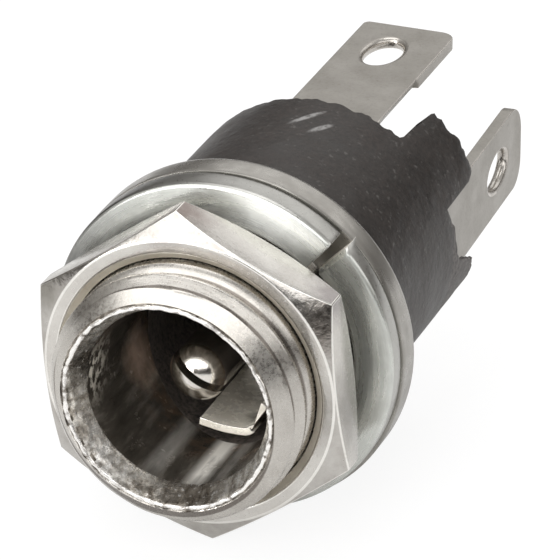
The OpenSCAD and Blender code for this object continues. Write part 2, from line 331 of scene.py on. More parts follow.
# %% Chamfer the corners and bore it
CHAMFER_R, SINK_R, SINK_DEPTH, NUT_BORE_R = 6.4, 5.9, 0.32, 5.52
RING_R = NUT_CORNER + 0.3
DROP = (RING_R - CHAMFER_R) * math.tan(math.radians(30))
ring_outline = [(SINK_R, NUT_FRONT), (CHAMFER_R, NUT_FRONT), (RING_R, NUT_FRONT + DROP),
                (RING_R, NUT_BACK - DROP), (CHAMFER_R, NUT_BACK), (SINK_R, NUT_BACK),
                (NUT_BORE_R, NUT_BACK - SINK_DEPTH), (NUT_BORE_R, NUT_FRONT + SINK_DEPTH)]
ring = draw_line("nut_ring", ring_outline, closed=True)
turn_round(ring, 144)
cut_away(nut, ring, "INTERSECT")
round_edges(nut, 0.13, angle=18)
finish_piece(nut, "hex_nut", smooth=30)

# %% [markdown]
# ## The lock washer
# A lock washer is a turn of rounded wire section whose cut ends stand apart. The Screw modifier sweeps the
# section round the axis and lifts it as it goes, and the two cut ends are then filled.

# %% Sweep the washer
WASHER_IN, WASHER_OUT, WASHER_T, WASHER_RISE = 5.75, 7.55, 1.0, 0.55
WASHER_GAP, WASHER_CUT_AT, WIRE_ROUND = 0.5, 47, 0.2
HALF_CUT = math.asin(WASHER_GAP / (WASHER_IN + WASHER_OUT))
SWEEP = 2 * math.pi - 2 * HALF_CUT
near, far = WASHER_IN + WIRE_ROUND, WASHER_OUT - WIRE_ROUND
back, ahead = -WIRE_ROUND, WIRE_ROUND - WASHER_T
section = []
for middle_r, middle_y, start in ((near, back, 90), (near, ahead, 180), (far, ahead, 270), (far, back, 0)):
    for k in range(5):
        a = math.radians(start + 22.5 * k)
        section.append((middle_r + WIRE_ROUND * math.cos(a), middle_y + WIRE_ROUND * math.sin(a)))
washer = draw_line("lock_washer_piece", section, closed=True)
first_end = math.radians(WASHER_CUT_AT) - HALF_CUT
washer.data.transform(Matrix.Rotation(-first_end, 4, "Y"))
modify(washer, "SCREW", axis="Y", angle=SWEEP, screw_offset=-WASHER_RISE, steps=240, render_steps=240,
       use_merge_vertices=False)
edit_all()
bpy.ops.mesh.fill_holes(sides=0)
face_outwards()
print("washer swept:", len(washer.data.vertices), "points")

# %% [markdown]
# The cut end that stands out fills most of the room down to the flange, and the washer hangs a little to
# one side on the thread, as far as its play lets it.

# %% Seat the washer
END_FILL, WASHER_SHIFT = 0.35, Vector((0.13, 0, 0.09))
PAST_END = 1.02  # a point of the first end can fall just before its start, which reads as a whole turn
for point in washer.data.vertices:
    turn = turn_of(point.co)
    swept = ((first_end - turn) % (2 * math.pi)) / SWEEP
    if swept > PAST_END:
        swept = 0.0
    depth = point.co.y + WASHER_RISE * swept
    point.co.y += END_FILL * swept * (1 + depth / WASHER_T)
    point.co += WASHER_SHIFT
round_edges(washer, 0.05, angle=60, segments=2)
finish_piece(washer, "lock_washer", smooth=40)

# %% [markdown]
# ## The black housing
# The housing is moulded. Its thin rear rim is ragged, and two broken tabs stand further back on either side
# of the side lug. The wall is spun with one column of points per degree.

# %% Housing outline
WALL_R, WALL_IN, POCKET_R = 6.3, 5.9, 5.02
RIM_BACK, RIM_FOOT = 11.05, 10.2
FLOOR_FRONT, FLOOR_BACK = 5.05, 8.45
front = [(0, FLOOR_FRONT), (2.5, FLOOR_FRONT), (POCKET_R, FLOOR_FRONT), (POCKET_R, FLANGE_BACK),
         (6.1, FLANGE_BACK), (6.2, 1.48), (6.27, 1.55)]
wall = [(WALL_R, y) for y in (1.65, 3.5, 5.5, 7.5, 9.0, 10.0)]
outer = stretch((WALL_R, RIM_FOOT), (WALL_R, RIM_BACK), 16)[1:-1]
edge = [(6.27, 11.04), (6.2, RIM_BACK), (6.1, RIM_BACK), (6.0, RIM_BACK), (5.93, 11.04)]
inner = [(WALL_IN, y) for _, y in reversed(outer)]
inside = [(WALL_IN, 9.5), (WALL_IN, FLOOR_BACK), (2.5, FLOOR_BACK), (0, FLOOR_BACK)]
housing = draw_line("housing_piece", front + wall + outer + edge + inner + inside)
turn_round(housing, 360)

# %% [markdown]
# The rim's height is a line over the turn, in degrees and millimetres, and the points near the rim are
# pushed out to that line column by column, with some noise. The outer wall sits a little high and to the
# left of the bush.

# %% Height of the rim
rim_line = [(-180, 11.02), (-42.4, 11.0), (-41.0, 15.3), (-39.5, 15.78), (-33.0, 15.8), (-31.0, 15.65),
            (-17.0, 14.3), (-15.8, 14.35), (-14.6, 13.85), (-5.2, 11.6), (0.0, 11.4), (11.5, 11.2),
            (19.0, 11.08), (19.8, 14.0), (21.5, 14.6), (25.0, 14.55), (30.0, 14.62), (36.0, 14.7),
            (42.0, 14.55), (46.0, 14.75), (48.0, 14.5), (50.8, 14.62), (52.0, 13.0), (53.2, 10.98),
            (180, 11.02)]


def rim_at(deg):
    for (low, low_y), (high, high_y) in zip(rim_line, rim_line[1:]):
        if low <= deg <= high:
            return low_y + (high_y - low_y) * (deg - low) / (high - low)
    return rim_line[0][1]


print("rim from", round(rim_at(120), 2), "to", round(rim_at(-35), 2), "mm")

# %% Ragged rim and tabs
WALL_MIDDLE, TAB_FOOT, TAB_WANDER, WALL_LUMPS = 6.1, 11, 0.9, 0.03
NIBBLES, NIBBLE_IN = ((0.13, 0.8), (0.18, 0.3)), 0.14
OUTER_FROM, HOUSING_SHIFT = 6.06, Vector((-0.07, 0, 0.07))
for point in housing.data.vertices:
    if point.co.y > RIM_FOOT + SLACK:
        r = radius_of(point.co)
        turn = turn_of(point.co)
        share = (point.co.y - RIM_FOOT) / (RIM_BACK - RIM_FOOT)
        around = Vector((math.cos(turn), 0, math.sin(turn))) * WALL_MIDDLE
        nibble = sum(deep * uneven(around, wide) for deep, wide in NIBBLES) - NIBBLE_IN
        point.co.y = RIM_FOOT + share * (rim_at(math.degrees(turn)) + nibble - RIM_FOOT)
        wander = math.radians(TAB_WANDER * uneven((0, point.co.y, 7.3), 0.4))
        turn += wander * clamp(point.co.y - TAB_FOOT)
        r += WALL_LUMPS * share * uneven(point.co, 0.6) - WALL_LUMPS * share * (r > WALL_MIDDLE)
        point.co.x, point.co.z = r * math.cos(turn), r * math.sin(turn)
for point in housing.data.vertices:
    if radius_of(point.co) > OUTER_FROM:
        point.co += HOUSING_SHIFT
finish_piece(housing, "housing", smooth=40)

# %% [markdown]
# ## The centre pin
# The pin is turned with a low domed tip and split by a saw cut so that it springs in the plug. The outline
# is spun, and the cut, a little off the middle, is a thin block taken away with a Boolean.

# %% Turn the pin
PIN_R, PIN_TIP, DOME_R = 1.25, -4.35, 1.377
COLLAR_R, PIN_TAIL_R = 1.9, 0.85
DOME_TURN = math.asin(PIN_R / DOME_R)
dome_turns = [DOME_TURN * k / 14 for k in range(15)]
dome = [(DOME_R * math.sin(a), PIN_TIP + DOME_R * (1 - math.cos(a))) for a in dome_turns]
shaft = [(PIN_R, y) for y in (-3.4, -1.5, 1.5, 4.45)]
collar = [(1.85, 4.45), (COLLAR_R, 4.5), (COLLAR_R, FLOOR_FRONT), (PIN_TAIL_R, FLOOR_FRONT)]
rivet = [(PIN_TAIL_R, 8.99), (1.36, 8.99), (1.4, 9.04), (1.2, 9.35), (PIN_TAIL_R, 9.49), (0, 9.5)]
pin = draw_line("centre_pin_piece", dome + shaft + collar + rivet)
turn_round(pin, 72)

# %% Split it
SAW_SIZE, SAW_TURN, SAW_OFF = (4, 5, 0.35), math.radians(32), 0.15
deselect()
bpy.ops.mesh.primitive_cube_add(size=1, location=(0, PIN_TIP + 1.5, 0))
saw = bpy.context.object
saw.scale = SAW_SIZE
bpy.ops.object.transform_apply()
saw.data.transform(Matrix.Rotation(SAW_TURN, 4, "Y") @ Matrix.Translation((0, 0, SAW_OFF)))
cut_away(pin, saw)
# The bevel's clamp leaves this rounding almost without width, so the pin's edges stay sharp.
round_edges(pin, 0.07, angle=40)
finish_piece(pin, "centre_pin", smooth=40)

# %% [markdown]
# ## The solder lugs
# Both lugs are punched from sheet and bent. A rectangle the size of the sheet's section is extruded along
# the foot, spun round the bend and extruded again along the blade, as a press brake would fold it. The
# eye is punched with a cylinder that was stretched into an oval, and its edges are rounded.

# %% Bend, cut and punch sheet
SHEET, BEND = 0.55, 0.4
EYE_X, EYE_Y, EYE_ROUND = 0.8, 1.48, 0.24


def sheet_end(name, width, place, rotation=(0, 0, 0)):
    deselect()
    bpy.ops.mesh.primitive_plane_add(size=1, location=place, rotation=rotation)
    piece = bpy.context.object
    piece.name = name
    piece.scale = (width, SHEET, 1)
    bpy.ops.object.transform_apply()
    edit_all()
    return piece


def extrude(step):
    bpy.ops.mesh.extrude_region_move(TRANSFORM_OT_translate={"value": step})


def round_off(piece, test, offset, segments):
    pick(piece, "EDGE", test)
    bpy.ops.mesh.bevel(offset=offset, segments=segments, affect="EDGES")
    leave_edit()


def eye_punch(middle, turn, along):
    deselect()
    bpy.ops.mesh.primitive_cylinder_add(vertices=72, radius=1, depth=3)
    punch = bpy.context.object
    punch.scale = (EYE_X, EYE_Y, 1)
    bpy.ops.object.transform_apply()
    punch.data.transform(Matrix.Translation(middle) @ Matrix.Rotation(turn, 4, along))
    return punch


def on_eye(across, along):
    return abs(math.hypot(across / EYE_X, along / EYE_Y) - 1) < 0.02


# %% [markdown]
# Smooth shading over the rounded edges would bend the shading of a lug's broad faces too. So the level
# faces are shaded flat again once a lug is finished.

# %% Flat faces
FLAT_FROM, FLAT_AREA, LEVEL = 9.5, 0.2, 0.99


def lay_flat(piece):
    flat_faces = 0
    for face in piece.data.polygons:
        level = max(abs(face.normal.x), abs(face.normal.z)) > LEVEL
        if level and face.center.y > FLAT_FROM * MM and face.area > FLAT_AREA * MM * MM:
            face.use_smooth = False
            flat_faces += 1
    print(piece.name, "has", flat_faces, "flat faces")


# %% Bend the pin lug
LUG_Z, LUG_TIP, LUG_W = 5.128, 22.45, 4.4
NECK = (12.3, 12.6, 17.0, 17.3)
pin_lug = sheet_end("pin_lug_piece", LUG_W, (0, FLOOR_BACK + SHEET / 2, -LUG_W / 2))
extrude((0, 0, LUG_Z - BEND - SHEET + LUG_W / 2))
bend_at = (0, FLOOR_BACK + SHEET + BEND, LUG_Z - BEND - SHEET)
bpy.ops.mesh.spin(steps=8, angle=math.pi / 2, center=bend_at, axis=(1, 0, 0))
reached = bend_at[1]
for reach in (*NECK, LUG_TIP):
    extrude((0, reach - reached, 0))
    reached = reach
leave_edit()
print("pin lug reaches", round(max(v.co.y for v in pin_lug.data.vertices), 2), "mm")

# %% [markdown]
# The pin lug's blade was sheared a little narrow below its eye, and its lower edge is cut back there. Its
# tip has one tight and one wide corner, and its foot is round.

# %% Shape and punch the pin lug
PIN_EYE_X, PIN_EYE_Y, FOOT_ROUND = -0.25, 19.45, 2.1
SIDE_EDGE, TIP_EDGE, LOW_EDGE = LUG_W / 2 - 0.1, LUG_TIP - SLACK, LUG_Z - 0.3
NECK_START, NECK_END, NECK_CUT = NECK[1] - 0.1, NECK[2] + 0.1, (-0.2, 0, 0.1)
pick(pin_lug, "VERT", lambda co: co.x > SIDE_EDGE and co.z < LOW_EDGE and NECK_START < co.y < NECK_END)
bpy.ops.transform.translate(value=NECK_CUT)
round_off(pin_lug, lambda co: co.y > TIP_EDGE and co.x > SIDE_EDGE, 0.7, 6)
round_off(pin_lug, lambda co: co.y > TIP_EDGE and co.x < -SIDE_EDGE, 0.3, 5)
round_off(pin_lug, lambda co: co.z < -SIDE_EDGE and abs(co.x) > SIDE_EDGE, FOOT_ROUND, 10)
face_outwards()
cut_away(pin_lug, eye_punch((PIN_EYE_X, PIN_EYE_Y, LUG_Z), 0, "Z"))
for face_z in (LUG_Z, LUG_Z - SHEET):
    round_off(pin_lug, lambda co: (on_eye(co.x - PIN_EYE_X, co.y - PIN_EYE_Y)
                                   and abs(co.z - face_z) < 0.1), EYE_ROUND, 4)
round_edges(pin_lug, 0.13, angle=40)
finish_piece(pin_lug, "pin_lug", smooth=35)
lay_flat(pin_lug)

# %% Bend the sleeve lug
SIDE_X, SIDE_Z, SIDE_W, SIDE_TIP, LEAN = 5.357, -0.3, 4.05, 24.0, math.radians(2)
BRIDGE_X = 2.65
sleeve = sheet_end("sleeve_contact_piece", SIDE_W, (BRIDGE_X, FLOOR_BACK + SHEET / 2, SIDE_Z),
                   rotation=(0, math.pi / 2, 0))
extrude((SIDE_X - BEND - SHEET - BRIDGE_X, 0, 0))
bend_at = (SIDE_X - BEND - SHEET, FLOOR_BACK + SHEET + BEND, SIDE_Z)
bpy.ops.mesh.spin(steps=8, angle=math.pi / 2 + LEAN, center=bend_at, axis=(0, 0, -1))
run = SIDE_TIP - 0.05 - bend_at[1]
extrude((-run * math.tan(LEAN), run, 0))
leave_edit()
print("sleeve lug reaches", round(max(v.co.y for v in sleeve.data.vertices), 3), "mm")

# %% Shape and punch the sleeve lug
SIDE_EYE_X, SIDE_EYE_Y = 4.97, 20.35
SIDE_MIDDLE = SIDE_X - SHEET / 2 - math.tan(LEAN) * (SIDE_EYE_Y - bend_at[1])
SIDE_END, SIDE_HALF = SIDE_TIP - 0.1, SIDE_W / 2 - 0.1
round_off(sleeve, lambda co: co.y > SIDE_END and co.z > SIDE_Z + SIDE_HALF, 1.55, 10)
round_off(sleeve, lambda co: co.y > SIDE_END and co.z < SIDE_Z - SIDE_HALF, 1.15, 10)
face_outwards()
cut_away(sleeve, eye_punch((SIDE_EYE_X, SIDE_EYE_Y, SIDE_Z), math.pi / 2, "Y"))
for side in (1, -1):
    round_off(sleeve, lambda co: (on_eye(co.z - SIDE_Z, co.y - SIDE_EYE_Y)
                                  and side * (co.x - SIDE_MIDDLE) > 0.1), EYE_ROUND, 4)
print("sleeve lug punched:", len(sleeve.data.polygons), "faces")

# %% [markdown]
# ## The spring trough
# Inside the bore the sleeve contact goes on as a trough of thin spring sheet. Only its bright front lip can
# be seen. It is a bent line, extruded along the axis and given a thickness.

# %% Trough
TROUGH_BACK, TROUGH_RUN, LIP_RUN, SPRING_SHEET = 9.0, 11.15, 0.55, 0.36
KNEES, KNEE_ROUND = (0.667, 1.972), 0.35
bent_line = [(-0.319, -2.726), (KNEES[0], -2.9), (KNEES[1], -2.9), (2.61, -1.45)]
trough = draw_line("trough", [(x, TROUGH_BACK, z) for x, z in bent_line])
pick(trough, "VERT", lambda co: min(abs(co.x - knee) for knee in KNEES) < SLACK)
bpy.ops.mesh.bevel(offset=KNEE_ROUND, segments=5, affect="VERTICES")
bpy.ops.mesh.select_all(action="SELECT")
extrude((0, -TROUGH_RUN, 0))
extrude((0, -LIP_RUN, 0))
leave_edit()
modify(trough, "SOLIDIFY", thickness=SPRING_SHEET, offset=0)
face_outwards()
make_active(sleeve)
trough.select_set(True)
bpy.ops.object.join()
round_edges(sleeve, 0.12, angle=40)
finish_piece(sleeve, "sleeve_contact", smooth=35)
lay_flat(sleeve)

# %% [markdown]
# ## Finishes: the helpers
# Every finish is built from nodes on Object coordinates, so it needs no picture and no unwrapping. Small
# helpers keep the node trees readable: noise of a given grain size, tones and ranges made from it, noises
# stacked as bumps, and a soft ragged patch about a point, for tarnish and wear in one place. Each helper
# finds its node tree from the socket that it is given.

# %% Noise, tones and ranges
WHITE, BLACK = (1, 1, 1), (0, 0, 0)


def new_node(socket, kind):
    return socket.id_data.nodes.new("ShaderNode" + kind)


def join(value, socket):
    socket.id_data.links.new(value, socket)


def new_finish(name, metallic=0.0, roughness=0.5):
    material = bpy.data.materials.new(name)
    material.use_nodes = True
    tree = material.node_tree
    shader = tree.nodes["Principled BSDF"]
    shader.inputs["Metallic"].default_value = metallic
    shader.inputs["Roughness"].default_value = roughness
    where = tree.nodes.new("ShaderNodeTexCoord").outputs["Object"]
    return material, shader, where


def tell(material):
    print(material.name, "has", len(material.node_tree.nodes), "nodes")


def grain(where, size, detail=3.0, rough=0.6):
    texture = new_node(where, "TexNoise")
    texture.inputs["Scale"].default_value = 1 / (size * MM)
    texture.inputs["Detail"].default_value = detail
    texture.inputs["Roughness"].default_value = rough
    join(where, texture.inputs["Vector"])
    return texture.outputs[0]


def tones(value, *stops):
    ramp = new_node(value, "ValToRGB")
    marks = ramp.color_ramp.elements
    marks[0].position, marks[0].color = stops[0][0], (*stops[0][1], 1)
    marks[1].position, marks[1].color = stops[-1][0], (*stops[-1][1], 1)
    for place, colour in stops[1:-1]:
        mark = marks.new(place)
        mark.color = (*colour, 1)
    join(value, ramp.inputs["Fac"])
    return ramp.outputs["Color"]


def ranged(value, low, high, to_low, to_high):
    scale = new_node(value, "MapRange")
    for name, number in (("From Min", low), ("From Max", high), ("To Min", to_low), ("To Max", to_high)):
        scale.inputs[name].default_value = number
    join(value, scale.inputs["Value"])
    return scale.outputs["Result"]


# %% Blends and sums
def blend(share, first, second, kind="MIX"):
    mix = new_node(first, "MixRGB")
    mix.blend_type = kind
    for socket, name in ((share, "Fac"), (first, "Color1"), (second, "Color2")):
        if isinstance(socket, (int, float)):
            mix.inputs[name].default_value = socket
        elif isinstance(socket, tuple):
            mix.inputs[name].default_value = (*socket, 1)
        else:
            join(socket, mix.inputs[name])
    return mix.outputs["Color"]


def wire(shader, colour, roughness):
    join(colour, shader.inputs["Base Color"])
    join(roughness, shader.inputs["Roughness"])


def tinted(colour, share, value, *stops):
    return blend(share, colour, tones(value, *stops), "MULTIPLY")


def math_node(operation, first, second=0.0):
    node = new_node(first, "Math")
    node.operation = operation
    for socket, slot in ((first, 0), (second, 1)):
        if isinstance(socket, (int, float)):
            node.inputs[slot].default_value = socket
        else:
            join(socket, node.inputs[slot])
    return node.outputs[0]


def times(first, second):
    return math_node("MULTIPLY", first, second)


# %% Measures, bumps and patches
def measured(operation, where, other=(0, 0, 0)):
    node = new_node(where, "VectorMath")
    node.operation = operation
    node.inputs[1].default_value = other
    join(where, node.inputs[0])
    return node.outputs["Value"]


def bumps(shader, *layers):
    normal = None
    for height, depth in layers:
        bump = new_node(height, "Bump")
        bump.inputs["Distance"].default_value = depth * MM
        join(height, bump.inputs["Height"])
        if normal:
            join(normal, bump.inputs["Normal"])
        normal = bump.outputs["Normal"]
    join(normal, shader.inputs["Normal"])


def patch(where, middle, reach):
    away = measured("DISTANCE", where, Vector(middle) * MM)
    ragged = times(grain(where, reach / 3, detail=4), 0.8 * reach * MM)
    ragged = math_node("ADD", away, ragged)
    return ranged(ragged, 0.6 * reach * MM, 1.5 * reach * MM, 1.0, 0.0)


# %% [markdown]
# Turned parts carry marks that run round the axis, and the bore carries streaks that run along it. Both
# follow if the noise reads radius, length and turn instead of X, Y and Z, so one more helper bends the
# coordinates that way and stretches each of the three.

# %% Coordinates that follow the lathe
def lathe_parts(where):
    split = new_node(where, "SeparateXYZ")
    join(where, split.inputs[0])
    across = times(split.outputs["X"], split.outputs["X"])
    up = times(split.outputs["Z"], split.outputs["Z"])
    radius = math_node("SQRT", math_node("ADD", across, up))
    turn = math_node("ARCTAN2", split.outputs["Z"], split.outputs["X"])
    return radius, split.outputs["Y"], turn


def lathe_place(where, radius_by, length_by, turn_by):
    radius, length, turn = lathe_parts(where)
    bent = new_node(where, "CombineXYZ")
    join(times(radius, radius_by), bent.inputs["X"])
    join(times(length, length_by), bent.inputs["Y"])
    join(times(turn, turn_by * MM), bent.inputs["Z"])
    return bent.outputs[0]


# %% [markdown]
# ## Nickel
# The bush and nut are nickel plated. The plating is warm and pale with a sandy grain, it is worn brighter
# on edges, and it carries patches of tarnish and of painted shade. The thread also carries fine turning
# marks and painted shade along the bottom of its groove. The countersink is dull, and its pale beige is
# partly painted light.

# %% Painted shade in the thread
GROOVE_SHADE_R, GROOVE_SHADE_HALF, GROOVE_SHADE_SHARE = (5.24 * MM, 5.32 * MM), (0.125, 0.155), 0.8
WHOLE_TURNS = 9  # keeps the sum above zero, where the fraction of a turn is taken


# Painted shade along the bottom of the thread's groove, darker towards its root.
def groove_shade(where):
    radius, length, turn = lathe_parts(where)
    pitches = math_node("DIVIDE", length, PITCH * MM)
    place = math_node("ADD", pitches, math_node("DIVIDE", turn, 2 * math.pi))
    place = math_node("FRACT", math_node("ADD", place, WHOLE_TURNS - THREAD_START))
    off_root = math_node("ABSOLUTE", math_node("SUBTRACT", place, 0.5))
    low = ranged(radius, *GROOVE_SHADE_R, 1.0, 0.0)
    return times(low, ranged(off_root, *GROOVE_SHADE_HALF, GROOVE_SHADE_SHARE, 0.0))


# %% Nickel with a sandy grain
def nickel(name, dark, light, gloss, grain_depth, grain_size=0.16, marks=0.0, metallic=1.0, tarnish_and_shade=()):
    material, shader, where = new_finish(name, metallic)
    patches = grain(where, 1.4, detail=4)
    sand = grain(where, grain_size, detail=3)
    colour = tones(patches, (0.3, dark), (0.7, light))
    colour = tinted(colour, 0.5, sand, (0.22, (0.6, 0.57, 0.53)), (0.42, WHITE))
    # patches of tarnish and of painted shade
    for middle, reach, tint in tarnish_and_shade:
        colour = blend(patch(where, middle, reach), colour, tint)
    if marks:
        # painted shade in the thread's groove
        colour = blend(groove_shade(where), colour, (0.12, 0.1, 0.085))
    wire(shader, colour, ranged(sand, 0.3, 0.7, gloss, gloss + 0.12))
    layers = [(sand, grain_depth), (grain(where, 0.9, detail=2), grain_depth)]
    if marks:
        layers.append((grain(lathe_place(where, 1, 1, 0.4), 0.09, detail=2), marks))
    bumps(shader, *layers)
    return material


# %% Nickel of the thread and the nut
# The nut's patch on the right flat is painted shade, where the flat would mirror the shadowed paper under
# the socket. The patches on the chamfers are painted dark reflections.
NUT_TARNISH_AND_SHADE = (((-0.9, -3.4, 7.2), 1.9, (0.27, 0.225, 0.205)),
               ((5.9, -3.5, 4.5), 1.3, (0.36, 0.335, 0.325)),
               ((6.6, -3.4, -0.4), 2.4, (0.33, 0.315, 0.29)))
CHAMFER_SHADE = (((-6.9, -4.3, 3.0), 1.6, (0.28, 0.265, 0.235)),
                   ((5.7, -4.2, 3.4), 1.5, (0.32, 0.288, 0.258)))
thread_nickel = nickel("thread_nickel", (0.48, 0.455, 0.42), (0.60, 0.575, 0.535), 0.22, 0.003, marks=0.004)
nut_nickel = nickel("nut_nickel", (0.59, 0.565, 0.53), (0.68, 0.658, 0.62), 0.17, 0.005, metallic=0.88,
                    tarnish_and_shade=NUT_TARNISH_AND_SHADE)
worn_nickel = nickel("worn_nickel", (0.78, 0.76, 0.72), (0.88, 0.86, 0.82), 0.14, 0.006)
# The countersink is dull, and its pale beige is partly painted light.
lit_sink_nickel = nickel("lit_sink_nickel", (0.52, 0.475, 0.395), (0.64, 0.595, 0.51), 0.4, 0.012, metallic=0.35)
chamfer_nickel = nickel("chamfer_nickel", (0.40, 0.375, 0.345), (0.60, 0.58, 0.55), 0.16, 0.012,
                        grain_size=0.24, tarnish_and_shade=CHAMFER_SHADE)
tell(nut_nickel)

# %% [markdown]
# The mouth is pitted, with painted sparkle, painted shade on one side, painted light below it and darker
# brown towards the bottom. The small bead round the rim is bright, with dark chips.

# %% Pitted mouth
mouth_nickel, shader, where = new_finish("mouth_nickel", metallic=0.7)
pits = grain(where, 0.2, detail=4, rough=0.6)
wear = grain(lathe_place(where, 0.6, 0.4, 4.2), 0.32, detail=4)
colour = tones(wear, (0.34, (0.3, 0.265, 0.225)), (0.5, (0.68, 0.645, 0.585)), (0.64, (0.94, 0.92, 0.88)))
blotches = tones(wear, (0.34, (0.1, 0.082, 0.064)), (0.64, (0.33, 0.295, 0.25)))
# darker brown towards the bottom of the mouth
colour = blend(patch(where, (0.9, -6.5, -4.2), 2.5), colour, blotches)
painted_light_tone = tones(wear, (0.36, (0.5, 0.47, 0.43)), (0.56, (0.97, 0.96, 0.94)))
# painted light on the lower left of the mouth
colour = blend(patch(where, (-3.3, -6.7, -2.9), 2.0), colour, painted_light_tone)
painted_shade_tone = tones(wear, (0.4, (0.03, 0.026, 0.021)), (0.64, (0.1, 0.086, 0.07)))
# painted shade on the left of the mouth
colour = blend(patch(where, (-4.0, -6.0, 1.2), 1.7), colour, painted_shade_tone)
# pale painted sparkle in the pits
painted_sparkle = tones(pits, (0.6, BLACK), (0.66, (0.9, 0.9, 0.9)))
colour = blend(painted_sparkle, colour, (0.94, 0.92, 0.89))
wire(shader, colour, ranged(pits, 0.3, 0.7, 0.36, 0.16))
bumps(shader, (wear, 0.02), (pits, 0.018))
tell(mouth_nickel)

# %% Chipped bead of the rim
bead_nickel, shader, where = new_finish("bead_nickel", metallic=0.8)
chips = grain(where, 0.55, detail=4, rough=0.65)
colour = tones(chips, (0.36, (0.18, 0.155, 0.13)), (0.5, (0.92, 0.9, 0.87)))
wire(shader, colour, ranged(chips, 0.3, 0.6, 0.45, 0.16))
bumps(shader, (chips, 0.03))
tell(bead_nickel)

# %% [markdown]
# The bore is dark, with painted reflections along its length at the bottom: a broad pale streak and a
# fainter one on either side of it. Towards the dark far part it carries painted brown reflections, with one
# paler one on the left, and painted glints on the left near the mouth. All these painted marks are less
# metallic, so that the lamps light them where clean metal would mirror the dark bore.

# %% Painted reflection streaks of the bore
# Painted reflection: a pale streak at a given turn round the bore.
def painted_streak(turn, middle, half, strength):
    off = math_node("ABSOLUTE", math_node("SUBTRACT", turn, math.radians(middle)))
    return ranged(off, math.radians(half) * 0.3, math.radians(half), strength, 0.0)


bore_nickel, shader, where = new_finish("bore_nickel", metallic=1.0)
_, length, turn = lathe_parts(where)
lines = grain(lathe_place(where, 0, 0.22, 4.0), 0.7, detail=4, rough=0.6)
# painted reflections in pale streaks along the bottom of the bore
painted_light = painted_streak(turn, -80, 10, 1.0)
for middle, half, strength in ((-109, 8, 0.4), (-64, 8, 0.3)):
    painted_light = math_node("MAXIMUM", painted_light, painted_streak(turn, middle, half, strength))
painted_light = times(painted_light, ranged(lines, 0.3, 0.5, 0.6, 1.0))
painted_light = times(painted_light, ranged(length, -6.3 * MM, -5.0 * MM, 0.2, 1.0))
tell(bore_nickel)

# %% Painted brown reflections and glints of the bore
blotches = grain(where, 0.7, detail=4)
ahead = measured("DOT_PRODUCT", where, DARK_EDGE_TILT)
# painted brown reflections towards the dark far part of the bore
brown_reflection = times(ranged(ahead, -3.6 * MM, -1.2 * MM, 0.0, 1.0), ranged(blotches, 0.42, 0.62, 0.0, 0.9))
# a paler painted brown reflection on the left
pale_brown_reflection = patch(where, (-3.75, -0.9, -1.1), 1.5)
# painted glints on the left wall near the mouth
painted_glints = times(patch(where, (-4.0, -5.2, 0.3), 1.7),
               ranged(grain(where, 0.4, detail=3), 0.47, 0.57, 0.0, 1.0))
tell(bore_nickel)

# %% Colour of the bore
colour = tones(lines, (0.36, (0.085, 0.074, 0.06)), (0.52, (0.15, 0.132, 0.11)), (0.7, (0.38, 0.345, 0.3)))
# painted brown reflections, painted glints and painted streaks go over the bore's colour
colour = blend(brown_reflection, colour, (0.15, 0.095, 0.06))
colour = blend(pale_brown_reflection, colour, (0.6, 0.44, 0.345))
colour = blend(painted_glints, colour, (0.85, 0.8, 0.7))
colour = blend(painted_light, colour, (0.9, 0.87, 0.81))
wire(shader, colour, ranged(blotches, 0.3, 0.7, 0.12, 0.3))
# the painted reflections are less metallic
dull = math_node("MAXIMUM", painted_light, times(brown_reflection, 0.7))
dull = math_node("MAXIMUM", dull, math_node("MAXIMUM", pale_brown_reflection, painted_glints))
join(ranged(dull, 0.0, 1.0, 0.55, 0.05), shader.inputs["Metallic"])
bumps(shader, (lines, 0.03), (grain(where, 0.15, detail=3), 0.006))
tell(bore_nickel)

# %% [markdown]
# The flange was handled and is softly mottled, with faint wipe marks round its edge. It carries painted
# shade on the left, and a thin line of painted shade runs along its front edge, where the washer meets it.

# %% Mottled flange
flange_nickel, shader, where = new_finish("flange_nickel", metallic=0.9)
mottle = grain(where, 1.1, detail=5, rough=0.6)
wipe = grain(lathe_place(where, 1, 1, 1.2), 0.35, detail=3)
colour = tones(mottle, (0.3, (0.35, 0.335, 0.31)), (0.7, (0.44, 0.425, 0.398)))
colour = tinted(colour, 0.3, wipe, (0.35, (0.65, 0.64, 0.61)), (0.6, WHITE))
# painted shade on the left of the flange
colour = blend(patch(where, (-7.2, 0.3, 2.4), 4.2), colour, (0.16, 0.155, 0.148))
_, length, _ = lathe_parts(where)
# a thin line of painted shade along the front edge, where the washer meets it
front_edge_shade = ranged(length, 0.0, 0.1 * MM, 0.2, 0.0)
colour = blend(front_edge_shade, colour, (0.14, 0.135, 0.127))
wire(shader, colour, ranged(mottle, 0.3, 0.7, 0.36, 0.22))
bumps(shader, (mottle, 0.008), (wipe, 0.004))
tell(flange_nickel)

# %% [markdown]
# ## Zinc, tin and the contacts
# The spring washer is a cooler, greener grey with a drawn look along its wire. It carries painted shade on
# the left, its walls are a shaded copy of the zinc, its raised end carries a pale patch of painted light,
# and its bare cut ends are painted pale, as painted light in the gap. The lugs are dull tin with dark
# specks. The pin and the spring trough are rubbed bright.

# %% Zinc of the washer
washer_zinc, shader, where = new_finish("washer_zinc")
drawn = grain(lathe_place(where, 1, 1, 0.5), 0.16, detail=3)
cloud = grain(where, 1.1, detail=4)
colour = tones(cloud, (0.3, (0.55, 0.56, 0.525)), (0.7, (0.66, 0.67, 0.635)))
# painted shade on the left of the washer
colour = blend(patch(where, (-6.4, -1.0, 2.4), 4.4), colour, (0.2, 0.198, 0.188))
colour = tinted(colour, 0.3, drawn, (0.3, (0.6, 0.62, 0.62)), (0.5, WHITE))
